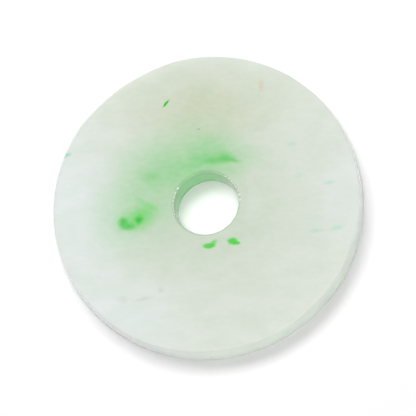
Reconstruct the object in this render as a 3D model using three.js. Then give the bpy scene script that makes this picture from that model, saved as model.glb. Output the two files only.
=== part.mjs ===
// A plain jade bi disc: one flat round slab of jadeite with a round hole through its middle.
// It lies on its underside. Lengths are in millimetres, +Z is up, and the origin is the middle of
// the underside. The disc is ground and polished true: both faces are flat, the rim stands nearly
// square with a slight bow, and every edge is eased by polishing.
import * as THREE from "three";

// The slab
const DISC_DIAMETER = 54;
const DISC_THICKNESS = 5.5;
// How far the middle of the rim stands out past its top and bottom
const RIM_BOW = 0.12;
// The rounding where the rim meets each face
const RIM_EDGE_RADIUS = 0.25;

// The hole, and the polished bevel at each of its mouths
const HOLE_DIAMETER = 11.4;
const HOLE_BEVEL = 0.3;
// How far the bevel's middle bulges past a straight slope, because it is polished by hand
const HOLE_BEVEL_BULGE = 0.02;

// Fineness of the faceted solid
const STEPS_AROUND = 180;
const STEPS_ON_RIM = 4;
const STEPS_ON_EDGE = 4;
const STEPS_ON_BEVEL = 2;

const JADE = new THREE.MeshStandardMaterial({ color: 0xd9e3d6, roughness: 0.18, metalness: 0 });

// Points (distance from the axis, height) of a shallow arc from one point to another, which stands
// out by bulge to the right of the way it runs. The first point is left to the stretch before it.
function shallowArc(from, to, bulge, steps) {
  const along = new THREE.Vector2().subVectors(to, from);
  const outward = new THREE.Vector2(along.y, -along.x).normalize();
  return Array.from({ length: steps }, (_, i) => {
    const share = (i + 1) / steps;
    const rise = 4 * share * (1 - share) * bulge;
    return from.clone().addScaledVector(along, share).addScaledVector(outward, rise);
  });
}

// Points of a quarter round with its centre at (x, y), starting at an angle. The first is left out.
function quarterRound(x, y, radius, startAngle, steps) {
  return Array.from({ length: steps }, (_, i) => {
    const angle = startAngle + (((i + 1) / steps) * Math.PI) / 2;
    return new THREE.Vector2(x + radius * Math.cos(angle), y + radius * Math.sin(angle));
  });
}

// The slab's section on one side of the axis, as one loop that starts at the outer edge of the
// underside and runs up the rim, in along the top face, down the hole and back out.
function discSection() {
  const rimEndRadius = DISC_DIAMETER / 2 - RIM_BOW;
  const faceRadius = rimEndRadius - RIM_EDGE_RADIUS;
  const undersideEdge = new THREE.Vector2(faceRadius, 0);
  const rimBottom = new THREE.Vector2(rimEndRadius, RIM_EDGE_RADIUS);
  const rimTop = new THREE.Vector2(rimEndRadius, DISC_THICKNESS - RIM_EDGE_RADIUS);

  const holeRadius = HOLE_DIAMETER / 2;
  const mouthRadius = holeRadius + HOLE_BEVEL;
  const topMouth = new THREE.Vector2(mouthRadius, DISC_THICKNESS);
  const topThroat = new THREE.Vector2(holeRadius, DISC_THICKNESS - HOLE_BEVEL);
  const bottomThroat = new THREE.Vector2(holeRadius, HOLE_BEVEL);
  const bottomMouth = new THREE.Vector2(mouthRadius, 0);

  return [
    undersideEdge,
    ...quarterRound(faceRadius, rimBottom.y, RIM_EDGE_RADIUS, -Math.PI / 2, STEPS_ON_EDGE),
    ...shallowArc(rimBottom, rimTop, RIM_BOW, STEPS_ON_RIM),
    ...quarterRound(faceRadius, rimTop.y, RIM_EDGE_RADIUS, 0, STEPS_ON_EDGE),
    topMouth,
    ...shallowArc(topMouth, topThroat, HOLE_BEVEL_BULGE, STEPS_ON_BEVEL),
    bottomThroat,
    ...shallowArc(bottomThroat, bottomMouth, HOLE_BEVEL_BULGE, STEPS_ON_BEVEL),
    undersideEdge.clone(),
  ];
}

function jadeDisc() {
  const geometry = new THREE.LatheGeometry(discSection(), STEPS_AROUND);
  geometry.rotateX(Math.PI / 2);
  const mesh = new THREE.Mesh(geometry, JADE);
  mesh.name = "jade_disc";
  return mesh;
}

const biDisc = new THREE.Group();
biDisc.add(jadeDisc());

export default biDisc;
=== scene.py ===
# A plain jade bi disc lying on a white table, seen from above at the photograph's angle.
# The disc is turned from its section by a Geometry Nodes tree, to the frame's own sizes. The tree
# also wears one side of the outline a little flat and nicks the mouths of the hole. The stone is one
# procedural material: pale jadeite with soft bodies of green through its thickness.
# The frame is in metres. A value whose name ends in _MM is in millimetres.
import math
from collections import namedtuple

import bpy
from mathutils import Matrix, Vector


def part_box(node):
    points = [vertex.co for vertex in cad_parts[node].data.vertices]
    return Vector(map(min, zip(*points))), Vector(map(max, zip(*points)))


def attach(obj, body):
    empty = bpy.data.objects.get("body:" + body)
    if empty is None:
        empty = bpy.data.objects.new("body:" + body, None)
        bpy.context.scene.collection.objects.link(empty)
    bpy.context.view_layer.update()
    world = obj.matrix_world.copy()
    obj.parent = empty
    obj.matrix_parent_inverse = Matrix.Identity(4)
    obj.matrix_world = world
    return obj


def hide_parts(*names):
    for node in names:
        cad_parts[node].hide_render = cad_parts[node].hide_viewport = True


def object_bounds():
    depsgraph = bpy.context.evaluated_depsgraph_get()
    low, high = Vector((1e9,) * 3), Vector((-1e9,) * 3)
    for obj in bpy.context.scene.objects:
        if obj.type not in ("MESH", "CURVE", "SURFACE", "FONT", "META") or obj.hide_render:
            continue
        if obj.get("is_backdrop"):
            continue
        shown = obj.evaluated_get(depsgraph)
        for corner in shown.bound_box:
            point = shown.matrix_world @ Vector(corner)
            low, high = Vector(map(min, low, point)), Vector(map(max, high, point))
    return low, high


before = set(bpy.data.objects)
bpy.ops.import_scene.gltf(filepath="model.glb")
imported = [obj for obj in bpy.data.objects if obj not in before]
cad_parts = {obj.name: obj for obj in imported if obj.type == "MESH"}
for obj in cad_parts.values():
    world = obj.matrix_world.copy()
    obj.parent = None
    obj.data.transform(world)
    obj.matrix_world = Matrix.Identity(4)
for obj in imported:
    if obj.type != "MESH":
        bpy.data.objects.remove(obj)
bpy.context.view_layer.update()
MM = 0.001


# Helpers


def srgb(code):
    """A colour such as "#4DC84B" as the linear RGBA that shaders take."""
    parts = [int(code[i : i + 2], 16) / 255 for i in (1, 3, 5)]
    return [p / 12.92 if p <= 0.04045 else ((p + 0.055) / 1.055) ** 2.4 for p in parts] + [1.0]


def add_node(tree, kind, inputs=None, **settings):
    """Adds one node with its settings. inputs gives each socket, by name or number, a value or a link."""
    made = tree.nodes.new(kind)
    for name, value in settings.items():
        setattr(made, name, value)
    for key, value in (inputs or {}).items():
        if isinstance(value, bpy.types.NodeSocket):
            tree.links.new(value, made.inputs[key])
        else:
            made.inputs[key].default_value = value
    return made


def direction(azimuth, elevation):
    """The way to something at that azimuth and elevation in degrees, where azimuth 0 is towards -Y."""
    a, e = math.radians(azimuth), math.radians(elevation)
    return Vector((math.sin(a) * math.cos(e), -math.cos(a) * math.cos(e), math.sin(e)))


# The disc's sizes, read from the frame

low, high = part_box("jade_disc")
DISC_RADIUS = (high.x - low.x) / 2
THICKNESS = high.z - low.z
HOLE_RADIUS = min(math.hypot(v.co.x, v.co.y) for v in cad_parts["jade_disc"].data.vertices)

# How far the middle of the rim stands out past its top and bottom
RIM_BOW_MM = 0.12
# The rounding where the rim meets each face
RIM_EDGE_RADIUS_MM = 0.25
# The bevel at each mouth of the hole, and how far its middle bulges past a straight slope
HOLE_BEVEL_MM = 0.3
HOLE_BEVEL_BULGE_MM = 0.005
# The outline is a little flat at the upper left of the photograph: which way that side faces, how
# deep it is in its middle, and how many degrees it reaches either way
FLAT_SIDE = (-0.574, 0.819, 0)
FLAT_DEPTH_MM = 0.27
FLAT_REACH = 24
# The nicks that the drill and use have left on the bevels
NICK_DEPTH_MM = 0.12
NICK_WIDTH_MM = 0.28
NICK_SEED = 3.0
# A share that runs from 0 at the mouth to 1 at the bore's wall is on the bevel this near to a half
ON_BEVEL = 0.49


# The camera, at the photograph's angle

VIEW_AZIMUTH = 26.6
VIEW_ELEVATION = 69.7
# How far the camera is rolled, so that +Y points up the picture
VIEW_ROLL = 26.6
CAMERA_DISTANCE = 1.0
FRAME_WIDTH_MM = 72.08
SENSOR_MM = 36.0
# Where the middle of the top face lies from the middle of the picture
TOP_FACE_RIGHT_MM = -0.35
TOP_FACE_UP_MM = 0.91


def make_camera():
    """The camera, aimed so that the top face lies in the picture where it does in the photograph."""
    back = direction(VIEW_AZIMUTH, VIEW_ELEVATION)
    level_right = Vector((0, 0, 1)).cross(back).normalized()
    level_up = back.cross(level_right)
    roll = math.radians(VIEW_ROLL)
    right = level_right * math.cos(roll) - level_up * math.sin(roll)
    up = level_up * math.cos(roll) + level_right * math.sin(roll)
    aim = Vector((0, 0, THICKNESS)) - right * TOP_FACE_RIGHT_MM * MM - up * TOP_FACE_UP_MM * MM

    data = bpy.data.cameras.new("camera")
    data.sensor_width = SENSOR_MM
    data.lens = SENSOR_MM * CAMERA_DISTANCE / (FRAME_WIDTH_MM * MM)
    data.clip_start = 0.05
    camera = bpy.data.objects.new("camera", data)
    turned = Matrix((right, up, back)).transposed().to_4x4()
    camera.matrix_world = Matrix.Translation(aim + back * CAMERA_DISTANCE) @ turned
    bpy.context.scene.collection.objects.link(camera)
    bpy.context.scene.camera = camera


# The turned disc

STEPS_AROUND = 480
STEPS_ON_FACE = 26
STEPS_ON_RIM = 8
STEPS_ON_EDGE = 6
STEPS_ON_BEVEL = 6
STEPS_ON_BORE = 12


def shallow_arc(start, end, bulge, steps):
    """Points of a shallow arc that stands out by bulge to the right of its way, without its first."""
    along = end - start
    outward = Vector((along.y, -along.x)).normalized()
    shares = [(i + 1) / steps for i in range(steps)]
    return [start + along * s + outward * 4 * s * (1 - s) * bulge for s in shares]


def quarter_round(centre, radius, start_angle, steps):
    """Points of a quarter round anticlockwise from an angle in degrees, without its first."""
    angles = [math.radians(start_angle + 90 * (i + 1) / steps) for i in range(steps)]
    return [centre + Vector((math.cos(a), math.sin(a))) * radius for a in angles]


def flat_run(start, end, steps):
    """Points of a flat face, without its first. They crowd towards its edges, which keeps it flat there."""
    shares = [(1 - math.cos(math.pi * (i + 1) / steps)) / 2 for i in range(steps)]
    return [start.lerp(end, s) for s in shares]


def disc_section():
    """The section on one side of the axis, as one loop of (distance from the axis, height) points."""
    edge, bevel = RIM_EDGE_RADIUS_MM * MM, HOLE_BEVEL_MM * MM
    rim_end = DISC_RADIUS - RIM_BOW_MM * MM
    face_end = rim_end - edge
    mouth = HOLE_RADIUS + bevel
    top_mouth, top_throat = Vector((mouth, THICKNESS)), Vector((HOLE_RADIUS, THICKNESS - bevel))
    low_throat, low_mouth = Vector((HOLE_RADIUS, bevel)), Vector((mouth, 0))
    rim_low, rim_top = Vector((rim_end, edge)), Vector((rim_end, THICKNESS - edge))
    bulge = HOLE_BEVEL_BULGE_MM * MM
    return [
        *quarter_round(Vector((face_end, edge)), edge, -90, STEPS_ON_EDGE),
        *shallow_arc(rim_low, rim_top, RIM_BOW_MM * MM, STEPS_ON_RIM),
        *quarter_round(Vector((face_end, THICKNESS - edge)), edge, 0, STEPS_ON_EDGE),
        *flat_run(Vector((face_end, THICKNESS)), top_mouth, STEPS_ON_FACE),
        *shallow_arc(top_mouth, top_throat, bulge, STEPS_ON_BEVEL),
        *flat_run(top_throat, low_throat, STEPS_ON_BORE),
        *shallow_arc(low_throat, low_mouth, bulge, STEPS_ON_BEVEL),
        *flat_run(low_mouth, Vector((face_end, 0)), STEPS_ON_FACE),
    ]


def turning_tree():
    """Turns a section, given as a loop of edges, round the axis, nicks the mouths of the hole, and
    wears one side a little flat."""
    tree = bpy.data.node_groups.new("turned disc", "GeometryNodeTree")
    tree.interface.new_socket("Section", in_out="INPUT", socket_type="NodeSocketGeometry")
    for name, kind in (
        ("Hole radius", "NodeSocketFloat"),
        ("Steps around", "NodeSocketInt"),
        ("Mouth radius", "NodeSocketFloat"),
        ("Flat side", "NodeSocketVector"),
        ("Flat share", "NodeSocketFloat"),
        ("Nick depth", "NodeSocketFloat"),
        ("Nick width", "NodeSocketFloat"),
        ("Seed", "NodeSocketFloat"),
        ("Stone", "NodeSocketMaterial"),
    ):
        tree.interface.new_socket(name, in_out="INPUT", socket_type=kind)
    tree.interface.new_socket("Disc", in_out="OUTPUT", socket_type="NodeSocketGeometry")

    given = add_node(tree, "NodeGroupInput").outputs
    section = add_node(tree, "GeometryNodeMeshToCurve", {"Mesh": given["Section"]})
    circle = add_node(
        tree,
        "GeometryNodeCurvePrimitiveCircle",
        {"Radius": given["Hole radius"], "Resolution": given["Steps around"]},
    )
    turned = add_node(
        tree,
        "GeometryNodeCurveToMesh",
        {"Curve": circle.outputs["Curve"], "Profile Curve": section.outputs["Curve"]},
    )

    # Swept this way round, the faces look inwards
    outside = add_node(tree, "GeometryNodeFlipFaces", {"Mesh": turned.outputs[0]})

    place = add_node(tree, "GeometryNodeInputPosition")
    from_axis = add_node(
        tree,
        "ShaderNodeVectorMath",
        {0: place.outputs[0], 1: (1, 1, 0)},
        operation="MULTIPLY",
    )
    off_axis = add_node(tree, "ShaderNodeVectorMath", {0: from_axis.outputs[0]}, operation="LENGTH")
    # 0 at the mouth and out on the faces, 1 at the bore's wall
    inwards = add_node(
        tree,
        "ShaderNodeMapRange",
        {
            "Value": off_axis.outputs["Value"],
            "From Min": given["Mouth radius"],
            "From Max": given["Hole radius"],
        },
        interpolation_type="SMOOTHSTEP",
    )
    # 1 on the bevels, 0 elsewhere
    on_bevel = add_node(
        tree,
        "ShaderNodeMath",
        {0: inwards.outputs[0], 1: 0.5, 2: ON_BEVEL},
        operation="COMPARE",
    )
    per_width = add_node(
        tree,
        "ShaderNodeMath",
        {0: 1.0, 1: given["Nick width"]},
        operation="DIVIDE",
    )
    nicks = add_node(
        tree,
        "ShaderNodeTexNoise",
        {"Vector": place.outputs[0], "W": given["Seed"], "Scale": per_width.outputs[0], "Detail": 1.0},
        noise_dimensions="4D",
    )
    depth = add_node(
        tree,
        "ShaderNodeMath",
        {0: nicks.outputs["Fac"], 1: given["Nick depth"]},
        operation="MULTIPLY",
    )
    inward = add_node(
        tree,
        "ShaderNodeMath",
        {0: depth.outputs[0], 1: on_bevel.outputs[0]},
        operation="MULTIPLY",
    )
    normal = add_node(tree, "GeometryNodeInputNormal")
    down = add_node(
        tree,
        "ShaderNodeVectorMath",
        {0: normal.outputs[0], "Scale": inward.outputs[0]},
        operation="SCALE",
    )
    cut = add_node(
        tree,
        "ShaderNodeVectorMath",
        {0: (0, 0, 0), 1: down.outputs[0]},
        operation="SUBTRACT",
    )
    nicked = add_node(
        tree,
        "GeometryNodeSetPosition",
        {"Geometry": outside.outputs[0], "Offset": cut.outputs[0]},
    )

    outward = add_node(tree, "ShaderNodeVectorMath", {0: from_axis.outputs[0]}, operation="NORMALIZE")
    facing = add_node(
        tree,
        "ShaderNodeVectorMath",
        {0: outward.outputs[0], 1: given["Flat side"]},
        operation="DOT_PRODUCT",
    )
    # 1 in the middle of the flat side, 0 from its ends on
    flat_end = math.cos(math.radians(FLAT_REACH))
    on_flat = add_node(
        tree,
        "ShaderNodeMapRange",
        {"Value": facing.outputs["Value"], "From Min": flat_end, "From Max": 1.0},
        interpolation_type="SMOOTHSTEP",
    )
    worn = add_node(
        tree,
        "ShaderNodeMath",
        {0: on_flat.outputs[0], 1: given["Flat share"]},
        operation="MULTIPLY",
    )
    pull = add_node(
        tree,
        "ShaderNodeVectorMath",
        {0: from_axis.outputs[0], "Scale": worn.outputs[0]},
        operation="SCALE",
    )
    pulled = add_node(
        tree,
        "ShaderNodeVectorMath",
        {0: (0, 0, 0), 1: pull.outputs[0]},
        operation="SUBTRACT",
    )
    flattened = add_node(
        tree,
        "GeometryNodeSetPosition",
        {"Geometry": nicked.outputs[0], "Offset": pulled.outputs[0]},
    )
    smooth = add_node(tree, "GeometryNodeSetShadeSmooth", {"Geometry": flattened.outputs[0]})
    whole = add_node(tree, "GeometryNodeRealizeInstances", {"Geometry": smooth.outputs[0]})
    finished = add_node(
        tree,
        "GeometryNodeSetMaterial",
        {"Geometry": whole.outputs[0], "Material": given["Stone"]},
    )
    add_node(tree, "NodeGroupOutput", {"Disc": finished.outputs[0]})
    return tree


def turned_disc(stone):
    """The polished disc as a plain mesh, at the origin, in the frame's own place."""
    points = disc_section()
    # Swept round the circle, a section's first axis points outwards from it and its second one down
    wire = bpy.data.meshes.new("disc section")
    corners = [(p.x - HOLE_RADIUS, -p.y, 0) for p in points]
    wire.from_pydata(corners, [(i, (i + 1) % len(corners)) for i in range(len(corners))], [])
    lathe = bpy.data.objects.new("disc section", wire)
    bpy.context.scene.collection.objects.link(lathe)

    tree = turning_tree()
    turning = lathe.modifiers.new("turned disc", "NODES")
    turning.node_group = tree
    values = {
        "Hole radius": HOLE_RADIUS,
        "Steps around": STEPS_AROUND,
        "Mouth radius": HOLE_RADIUS + HOLE_BEVEL_MM * MM,
        "Flat side": FLAT_SIDE,
        "Flat share": FLAT_DEPTH_MM * MM / DISC_RADIUS,
        "Nick depth": NICK_DEPTH_MM * MM,
        "Nick width": NICK_WIDTH_MM * MM,
        "Seed": NICK_SEED,
        "Stone": stone,
    }
    for socket in tree.interface.items_tree:
        if socket.name in values:
            turning[socket.identifier] = values[socket.name]

    shown = lathe.evaluated_get(bpy.context.evaluated_depsgraph_get())
    mesh = bpy.data.meshes.new_from_object(shown)
    mesh.name = "polished_disc"
    disc = bpy.data.objects.new("polished_disc", mesh)
    bpy.context.scene.collection.objects.link(disc)
    bpy.data.objects.remove(lathe)
    return disc


# The stone

# The stone's colours as the eye sees it in even light: its pale grounds, from the rim to the yellowest
# stone, its greens, its stains and foreign grains. Some carry painted light: the rim's pale is painted
# lighter as a glow, the mint in the hole is painted lighter than its shade, the foot of the rim has a
# painted glow, and the white on the bevels of the hole is painted glints
PALE_AND_PAINTED_GLOW = "#EAF6E8"
PALE = "#DEE5DB"
COOL = "#E5ECEA"
CELADON = "#CAD8C3"
STRAW = "#C8D2B2"
LEAF_GREEN = "#3ECA40"
HAZE_GREEN = "#46D254"
APPLE_GREEN = "#60D858"
SEA_GREEN = "#86DBB4"
MINT_AND_PAINTED_GLOW = "#AAF4AE"
RUST = "#D8B070"
ASH = "#98A292"
GRIT = "#5A5A48"
PAINTED_GLINT_WHITE = "#FFFFFF"
PAINTED_FOOT_GLOW = "#EEFFE9"

# The edges of small bodies are ragged and those of wide ones drift: the size of the swirls that push
# them about, and how far, in mm
RAGGED_MM = (0.8, 0.35)
DRIFTING_MM = (5.0, 2.5)

# A soft-edged body of colour in the stone. Its place is where its middle lies right of the disc's axis
# and up the picture from it, and its depth is how far it lies under the top face. Its reach is its
# half length along, across and up, turned anticlockwise by turn degrees. Strength is how much it
# hides what is around it at its middle, and core the share of its reach that is as strong as that.
Body = namedtuple("Body", "place depth reach turn colour strength core")

# Wide, cloudy bodies, from the ground colour up. All in mm, as the spots below.
CLOUDS = (
    # the polished top of the stone, over its rim and underside, which have a paler colour with a painted
    # glow
    Body((0, 0), -2, (62, 62, 5.8), 0, PALE, 1.0, 0.5),
    # the foot of the rim, painted lighter as a glow of the white card's light through the stone, and the
    # underside inside it, in the rim's pale with its painted glow
    Body((0, 0), 6.0, (62, 62, 3.4), 0, PAINTED_FOOT_GLOW, 1.0, 0.3),
    Body((0, 0), 5.5, (27.4, 27.4, 2.0), 0, PALE_AND_PAINTED_GLOW, 1.0, 0.85),
    # cooler and whiter at the left and the right
    Body((-25, -2), 2.6, (17, 24, 12), 0, COOL, 1.0, 0.1),
    Body((-15, -20), 2.6, (20, 13, 12), -30, COOL, 0.8, 0.1),
    Body((26, 1), 2.6, (11.5, 15, 12), 0, COOL, 0.6, 0.1),
    # the warmer heart of the disc, and the warmest stone above it
    Body((-0.6, 0.6), 2.6, (23.5, 21.8, 20), 0, CELADON, 0.92, 0.05),
    Body((-1, 17.8), 2.6, (21, 11, 9), 0, STRAW, 0.8, 0.05),
    # a lighter patch on the right of the hole
    Body((8.5, -0.5), 2.6, (4.5, 5, 6), 0, COOL, 0.4, 0.0),
    # the green haze on the upper left of the hole
    Body((-6.3, 6.0), 2.8, (14.5, 11, 9), 12, HAZE_GREEN, 0.56, 0.0),
    Body((-13.2, -2.4), 2.2, (12.5, 10, 6), 10, HAZE_GREEN, 0.34, 0.0),
    Body((-1, 10.8), 1.8, (10.5, 7, 6), 0, HAZE_GREEN, 0.14, 0.0),
    Body((1.2, 8.8), 1.8, (8.5, 4.8, 6), -4, HAZE_GREEN, 0.36, 0.0),
    Body((7.5, 8.2), 1.8, (5, 3.5, 5), 0, HAZE_GREEN, 0.16, 0.0),
    Body((-1.8, 6.6), 1.2, (6.5, 3.4, 3), 14, HAZE_GREEN, 0.24, 0.1),
    Body((4.4, 6.2), 1.2, (3.6, 2.6, 3), -20, HAZE_GREEN, 0.2, 0.0),
)

# Small bodies with a clearer edge
SPOTS = (
    Body((-10.2, 5.2), 0.8, (3.2, 1.7, 3), 0, LEAF_GREEN, 0.3, 0.0),
    Body((-9.8, 5.1), 0.4, (1.4, 0.8, 1.2), 0, LEAF_GREEN, 0.15, 0.0),
    Body((-0.2, 11.3), 0.8, (2.6, 1.2, 2), -20, LEAF_GREEN, 0.14, 0.0),
    # the tongue of green over the hole, which ends in a point on its right
    Body((0.5, 7.9), 0.8, (4.6, 1.8, 3), 3, LEAF_GREEN, 0.25, 0.0),
    Body((2.5, 7.8), 0.6, (3.8, 1.1, 2.4), 4, LEAF_GREEN, 0.36, 0.1),
    Body((3.3, 8.3), 0.3, (2.5, 1.6, 1.6), -20, LEAF_GREEN, 0.5, 0.0),
    Body((4.7, 7.6), 0.2, (2.0, 0.6, 0.8), -8, LEAF_GREEN, 0.5, 0.1),
    # the cluster on the left, two eyes joined by a bow underneath
    Body((-12.0, -2.7), 1, (5.5, 3.4, 2.6), 15, APPLE_GREEN, 0.72, 0.2),
    Body((-10.7, -1.2), 0.8, (3.2, 2.2, 2.2), 25, APPLE_GREEN, 0.4, 0.0),
    Body((-14.5, -3.1), 0.3, (1.3, 1.3, 1.2), 0, LEAF_GREEN, 0.85, 0.15),
    Body((-11.7, -2.8), 0.3, (1.2, 1.2, 1.2), 0, LEAF_GREEN, 0.95, 0.1),
    Body((-13.6, -4.0), 0.4, (2.4, 1.1, 1.2), 5, LEAF_GREEN, 0.75, 0.2),
    Body((-10.9, 0.3), 0.3, (3.4, 0.9, 0.8), -28, APPLE_GREEN, 0.5, 0.0),
    Body((-8.9, -0.75), 0.3, (1.6, 0.9, 0.8), -20, APPLE_GREEN, 0.45, 0.0),
    # two crisp spots under the hole
    Body((0.7, -7.85), 0.2, (1.5, 0.66, 0.9), 2, APPLE_GREEN, 0.95, 0.55),
    Body((1.4, -7.4), 0.2, (1.25, 0.7, 0.7), 40, APPLE_GREEN, 0.7, 0.4),
    Body((4.85, -7.1), 0.2, (1.2, 0.95, 0.9), 0, APPLE_GREEN, 0.95, 0.5),
    Body((5.5, -7.45), 0.2, (1.1, 0.5, 0.7), -5, APPLE_GREEN, 0.9, 0.4),
    # the wall of the hole is green where the stone is cut through, deepest at its foot, and its mint is
    # painted lighter than its shade, as a painted glow
    Body((-0.6, 0.8), 3.2, (7.5, 7.5, 5), 0, MINT_AND_PAINTED_GLOW, 1.0, 0.5),
    Body((-0.3, 1.5), 1.0, (5.0, 5.2, 1.6), 0, LEAF_GREEN, 0.35, 0.5),
    Body((-0.6, 0.8), 5.5, (7.2, 7.2, 1.6), 0, LEAF_GREEN, 0.34, 0.6),
    # and is paler at both ends of the part that shows
    Body((-6.8, 1.6), 1.6, (2.6, 3.6, 3.2), 15, CELADON, 0.5, 0.1),
    Body((4.9, 3.6), 2.2, (2.0, 2.4, 3.0), 0, CELADON, 0.35, 0.1),
    # the side of the wall that faces the upper left is as pale as the rim, with the same painted glow
    Body((3.8, -4.6), 3.4, (4.6, 4.6, 3.2), 0, PALE_AND_PAINTED_GLOW, 1.0, 0.5),
    # painted glints: white dots of highlight at the mouth of the hole
    Body((-4.95, 2.8), 0.1, (0.3, 0.3, 0.4), 0, PAINTED_GLINT_WHITE, 1.0, 0.4),
    Body((5.85, 1.35), 0.1, (0.24, 0.34, 0.35), 10, PAINTED_GLINT_WHITE, 1.0, 0.4),
    Body((5.98, 0.4), 0.1, (0.24, 0.26, 0.35), 0, PAINTED_GLINT_WHITE, 1.0, 0.4),
    # one vivid needle near the top
    Body((-7.5, 18.42), 0.1, (1.1, 0.34, 0.4), 50, LEAF_GREEN, 1.0, 0.45),
    # sea green at the left of the rim, and faint streaks of it on the right
    Body((-24.9, 9.4), 0.4, (1.3, 0.65, 1.4), 10, SEA_GREEN, 0.85, 0.2),
    Body((14.8, 10.3), 0.4, (1.7, 0.6, 1.4), 8, SEA_GREEN, 0.3, 0.1),
    Body((16.2, 4.6), 0.4, (1.2, 1.0, 1.4), 30, SEA_GREEN, 0.2, 0.1),
    Body((21.5, 3.1), 0.4, (1.8, 0.6, 1.4), 8, SEA_GREEN, 0.4, 0.1),
    Body((19.3, -5.6), 0.4, (1.9, 0.6, 1.4), 5, SEA_GREEN, 0.4, 0.1),
    Body((23.1, -5.1), 0.4, (1.9, 0.7, 1.4), 5, SEA_GREEN, 0.4, 0.1),
    # green in the wall of the rim
    Body((21.8, -15.4), 2.2, (2.2, 2.6, 1.8), 0, HAZE_GREEN, 0.16, 0.1),
    Body((14.2, -22.9), 2.4, (1.8, 1.4, 1.5), 0, SEA_GREEN, 0.22, 0.1),
    Body((26.2, -6.5), 2.2, (1.4, 2.6, 1.8), 0, SEA_GREEN, 0.28, 0.1),
    # plainer green on the underside
    Body((7.5, 9.5), 5.4, (1.8, 0.7, 0.9), 30, APPLE_GREEN, 0.7, 0.3),
    Body((-9, -12), 5.2, (3.2, 1.2, 1.2), -15, LEAF_GREEN, 0.35, 0.0),
    # a rusty stain, dark grains of another mineral and a few ashy scratches
    Body((9.2, 21.3), 0.3, (0.85, 1.8, 0.9), 0, RUST, 0.42, 0.0),
    Body((-1.6, 13.5), 0, (0.3, 0.13, 0.2), 0, GRIT, 0.6, 0.3),
    Body((1.0, -26.9), 3.6, (0.35, 0.35, 0.25), 0, GRIT, 0.6, 0.2),
    Body((-7.5, -15.7), 0.3, (0.95, 0.9, 0.8), 0, ASH, 0.22, 0.1),
    Body((-10.4, -17.2), 0.3, (2.6, 0.6, 0.8), 14, ASH, 0.2, 0.1),
    Body((-14.2, -17.2), 0.3, (1.4, 1.1, 0.8), -30, ASH, 0.18, 0.1),
)

# Painted glints: white highlights painted on the bevel at the top mouth of the hole, where the strips shine
# in it:
# how many degrees round from the right, and half their length in mm
PAINTED_GLINTS = (
    (152, 0.22),
    (160, 0.5),
    (168, 0.5),
    (175, 0.4),
    (182, 0.24),
    (187, 0.22),
    (192, 0.2),
    (198, 0.3),
    (56, 0.28),
    (49, 0.5),
    (42, 0.28),
    (36, 0.5),
    (29, 0.5),
    (22, 0.32),
    (14, 0.26),
    (5, 0.24),
)

# How far out on the bevel the painted glints lie, as a share of its width, how deep, and how far they
# reach across and up. The short ones are the whitest.
GLINT_PLACE = 0.4
GLINT_DEPTH_MM = 0.15
GLINT_REACH_MM = (0.15, 0.35)
SHORT_GLINT_MM = 0.35
SHORT_STRENGTH, LONG_STRENGTH = 0.95, 0.7

# The grain: size of its blotches in mm, their colour, and how much of it they take at most. It is
# drawn coarser than crystals of jadeite are, so that it shows.
GRAIN = ((2.8, "#B9D0B2", 0.13), (0.8, "#F2F7F0", 0.08))
GRAIN_STRETCH = (2.0, 1, 1)
# Where a soft noise starts and where it is full
NOISE_START, NOISE_FULL = 0.35, 0.65

# The polish: low ripples, which the wheel leaves where the grain is softer, and a glassy shine
RIPPLE_SIZE_MM = 1.6
RIPPLE_HEIGHT_MM = 0.008
POLISH_ROUGHNESS = 0.15
JADEITE_IOR = 1.66
# How much of the light goes into the stone, and how far
SEE_THROUGH = 0.6
LIGHT_REACH_MM = 2.5


def painted_glint(angle, length):
    """One painted glint, as a body that lies along the bevel."""
    radius = HOLE_RADIUS / MM + HOLE_BEVEL_MM * GLINT_PLACE
    a = math.radians(angle)
    place = (radius * math.cos(a), radius * math.sin(a))
    strength = SHORT_STRENGTH if length < SHORT_GLINT_MM else LONG_STRENGTH
    return Body(place, GLINT_DEPTH_MM, (length, *GLINT_REACH_MM), angle + 90, PAINTED_GLINT_WHITE, strength, 0.4)


def swirl(tree, place, size_mm, amount_mm):
    """Pushes places about by up to half of amount_mm each way, in swirls of that size."""
    noise = add_node(tree, "ShaderNodeTexNoise", {"Vector": place, "Scale": 1 / size_mm, "Detail": 1.0})
    push = add_node(
        tree,
        "ShaderNodeVectorMath",
        {0: noise.outputs["Color"], 1: (-0.5, -0.5, -0.5)},
        operation="ADD",
    )
    pushed = add_node(
        tree,
        "ShaderNodeVectorMath",
        {0: push.outputs[0], 1: (amount_mm,) * 3, 2: place},
        operation="MULTIPLY_ADD",
    )
    return pushed.outputs[0]


def noise_share(tree, place, size_mm, stretch, share):
    """A soft noise from 0 to share, in blotches of that size, drawn out along the three axes by stretch."""
    drawn_out = add_node(
        tree,
        "ShaderNodeVectorMath",
        {0: place, 1: stretch},
        operation="DIVIDE",
    )
    noise = add_node(
        tree,
        "ShaderNodeTexNoise",
        {"Vector": drawn_out.outputs[0], "Scale": 1 / size_mm, "Detail": 3.0},
    )
    shared = add_node(
        tree,
        "ShaderNodeMapRange",
        {
            "Value": noise.outputs["Fac"],
            "From Min": NOISE_START,
            "From Max": NOISE_FULL,
            "To Max": share,
        },
        interpolation_type="SMOOTHSTEP",
    )
    return shared.outputs[0]


def lay_in(tree, stone, place, body):
    """Lays one body of colour into the stone's colour, and gives the new colour."""
    within = add_node(
        tree,
        "ShaderNodeMapping",
        {
            "Vector": place,
            "Location": (*body.place, THICKNESS / MM - body.depth),
            "Rotation": (0, 0, math.radians(body.turn)),
            "Scale": body.reach,
        },
        vector_type="TEXTURE",
    )
    away = add_node(tree, "ShaderNodeVectorMath", {0: within.outputs[0]}, operation="LENGTH")
    share = add_node(
        tree,
        "ShaderNodeMapRange",
        {"Value": away.outputs["Value"], "From Min": 1.0, "From Max": body.core, "To Max": body.strength},
        interpolation_type="SMOOTHSTEP",
    )
    mixed = add_node(
        tree,
        "ShaderNodeMix",
        {0: share.outputs[0], 6: stone, 7: srgb(body.colour)},
        data_type="RGBA",
    )
    return mixed.outputs[2]


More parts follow.
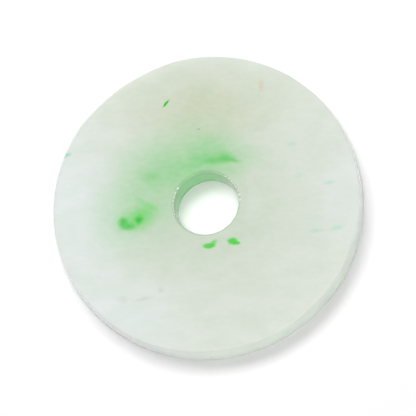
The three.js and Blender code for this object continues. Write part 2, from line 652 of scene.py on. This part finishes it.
def polished_jadeite():
    """Jadeite, sawn, ground and polished."""
    # The eye sees a pale stone that light soaks into, with a soft glassy shine on it
    material = bpy.data.materials.new("polished_jadeite")
    material.use_nodes = True
    tree = material.node_tree
    tree.nodes.clear()
    where = add_node(tree, "ShaderNodeTexCoord")
    place = add_node(
        tree,
        "ShaderNodeVectorMath",
        {0: where.outputs["Object"], "Scale": 1 / MM},
        operation="SCALE",
    ).outputs[0]
    ragged = swirl(tree, place, *RAGGED_MM)
    drifting = swirl(tree, ragged, *DRIFTING_MM)

    # The ground is the rim's pale, painted lighter as a glow
    stone = srgb(PALE_AND_PAINTED_GLOW)
    for body in CLOUDS:
        stone = lay_in(tree, stone, drifting, body)
    # The stone's own grain, in faint streaks that run across the picture
    for size_mm, colour, share in GRAIN:
        blotches = noise_share(tree, place, size_mm, GRAIN_STRETCH, share)
        stone = add_node(
            tree,
            "ShaderNodeMix",
            {0: blotches, 6: stone, 7: srgb(colour)},
            data_type="RGBA",
        ).outputs[2]
    for body in SPOTS:
        stone = lay_in(tree, stone, ragged, body)
    # White highlights painted on the bevel as glints
    for angle, length in PAINTED_GLINTS:
        stone = lay_in(tree, stone, place, painted_glint(angle, length))

    ripples = add_node(
        tree,
        "ShaderNodeBump",
        {
            "Height": noise_share(tree, place, RIPPLE_SIZE_MM, (1, 1, 1), 1.0),
            "Distance": RIPPLE_HEIGHT_MM * MM,
        },
    )
    shader = add_node(
        tree,
        "ShaderNodeBsdfPrincipled",
        {
            "Base Color": stone,
            "Normal": ripples.outputs[0],
            "Roughness": POLISH_ROUGHNESS,
            "IOR": JADEITE_IOR,
            "Subsurface Weight": SEE_THROUGH,
            "Subsurface Radius": (1.0, 1.0, 1.0),
            "Subsurface Scale": LIGHT_REACH_MM * MM,
        },
    )
    add_node(tree, "ShaderNodeOutputMaterial", {"Surface": shader.outputs[0]})
    return material


# The table and the light

FLOOR_SIZE = 3.0
# The card lies this far under the disc, so that the two never share a plane
FLOOR_GAP = 0.02 * MM
WHITE_CARD = "#FAFAFA"
CARD_ROUGHNESS = 0.9
# The even light of the room, where 1 is white
ROOM_LIGHT = 0.03
# Faintly pink, because the shade in the photograph is neutral beside the green stone
FILL_TINT = "#FFFBFF"


def plain_material(name, colour, roughness):
    """A matt, even material without any shine, as card has."""
    material = bpy.data.materials.new(name)
    material.use_nodes = True
    shader = material.node_tree.nodes["Principled BSDF"]
    shader.inputs["Base Color"].default_value = srgb(colour)
    shader.inputs["Roughness"].default_value = roughness
    shader.inputs["Specular IOR Level"].default_value = 0.0
    return material


def make_floor():
    """The white card that the disc lies on, which is staging and no part of it."""
    half = FLOOR_SIZE / 2
    mesh = bpy.data.meshes.new("table_top")
    corners = [(x * half, y * half, -FLOOR_GAP) for x, y in ((-1, -1), (1, -1), (1, 1), (-1, 1))]
    mesh.from_pydata(corners, [], [(0, 1, 2, 3)])
    mesh.materials.append(plain_material("white_card", WHITE_CARD, CARD_ROUGHNESS))
    floor = bpy.data.objects.new("table_top", mesh)
    bpy.context.scene.collection.objects.link(floor)
    floor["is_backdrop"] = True


def add_softbox(name, azimuth, elevation, distance, width, height, radiance, tint="#FFFFFF", **seen_by):
    """An area light that faces the disc. Its distance and sides are in metres, radiance is how bright
    its face is, where white card is near 1, and seen_by says which kinds of ray don't see it."""
    light = bpy.data.lights.new(name, "AREA")
    light.shape = "ELLIPSE"
    light.size = width
    light.size_y = height
    light.color = srgb(tint)[:3]
    light.energy = radiance * math.pi * (math.pi / 4 * width * height)
    box = bpy.data.objects.new(name, light)
    back = direction(azimuth, elevation)
    box.location = back * distance
    box.rotation_mode = "QUATERNION"
    box.rotation_quaternion = back.to_track_quat("Z", "Y")
    for rays, seen in seen_by.items():
        setattr(box, "visible_" + rays, seen)
    bpy.context.scene.collection.objects.link(box)


def make_light():
    """Soft studio light. The boxes that light the disc stay out of its polish, and the strips that
    show there don't light it."""
    world = bpy.data.worlds.new("studio")
    world.use_nodes = True
    background = world.node_tree.nodes["Background"]
    background.inputs["Color"].default_value = (1, 1, 1, 1)
    background.inputs["Strength"].default_value = ROOM_LIGHT
    bpy.context.scene.world = world
    # The key, behind the disc, throws the soft shadow to the lower right of the picture
    add_softbox(
        "key_softbox",
        azimuth=VIEW_AZIMUTH + 180,
        elevation=66,
        distance=0.8,
        width=0.65,
        height=0.4,
        radiance=7.2,
        glossy=False,
    )
    # The fill, beside the camera, lights the shade
    add_softbox(
        "fill_softbox",
        azimuth=VIEW_AZIMUTH,
        elevation=VIEW_ELEVATION,
        distance=1.2,
        width=0.3,
        height=0.3,
        radiance=29.5,
        tint=FILL_TINT,
        glossy=False,
    )
    # A low one lights the rim that faces the camera
    add_softbox(
        "low_softbox",
        azimuth=VIEW_AZIMUTH,
        elevation=5,
        distance=0.9,
        width=0.9,
        height=0.12,
        radiance=6.2,
        glossy=False,
    )
    # Two dim strips, for the polish
    add_softbox(
        "right_strip",
        azimuth=96,
        elevation=12,
        distance=0.8,
        width=0.55,
        height=0.09,
        radiance=1.5,
        diffuse=False,
    )
    add_softbox(
        "left_strip",
        azimuth=282,
        elevation=7,
        distance=0.8,
        width=0.7,
        height=0.09,
        radiance=1.0,
        diffuse=False,
    )
    bpy.context.scene.view_settings.view_transform = "Standard"


# The scene

make_camera()
disc = turned_disc(polished_jadeite())
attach(disc, "root")
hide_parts("jade_disc")
make_floor()
make_light()

low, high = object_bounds()
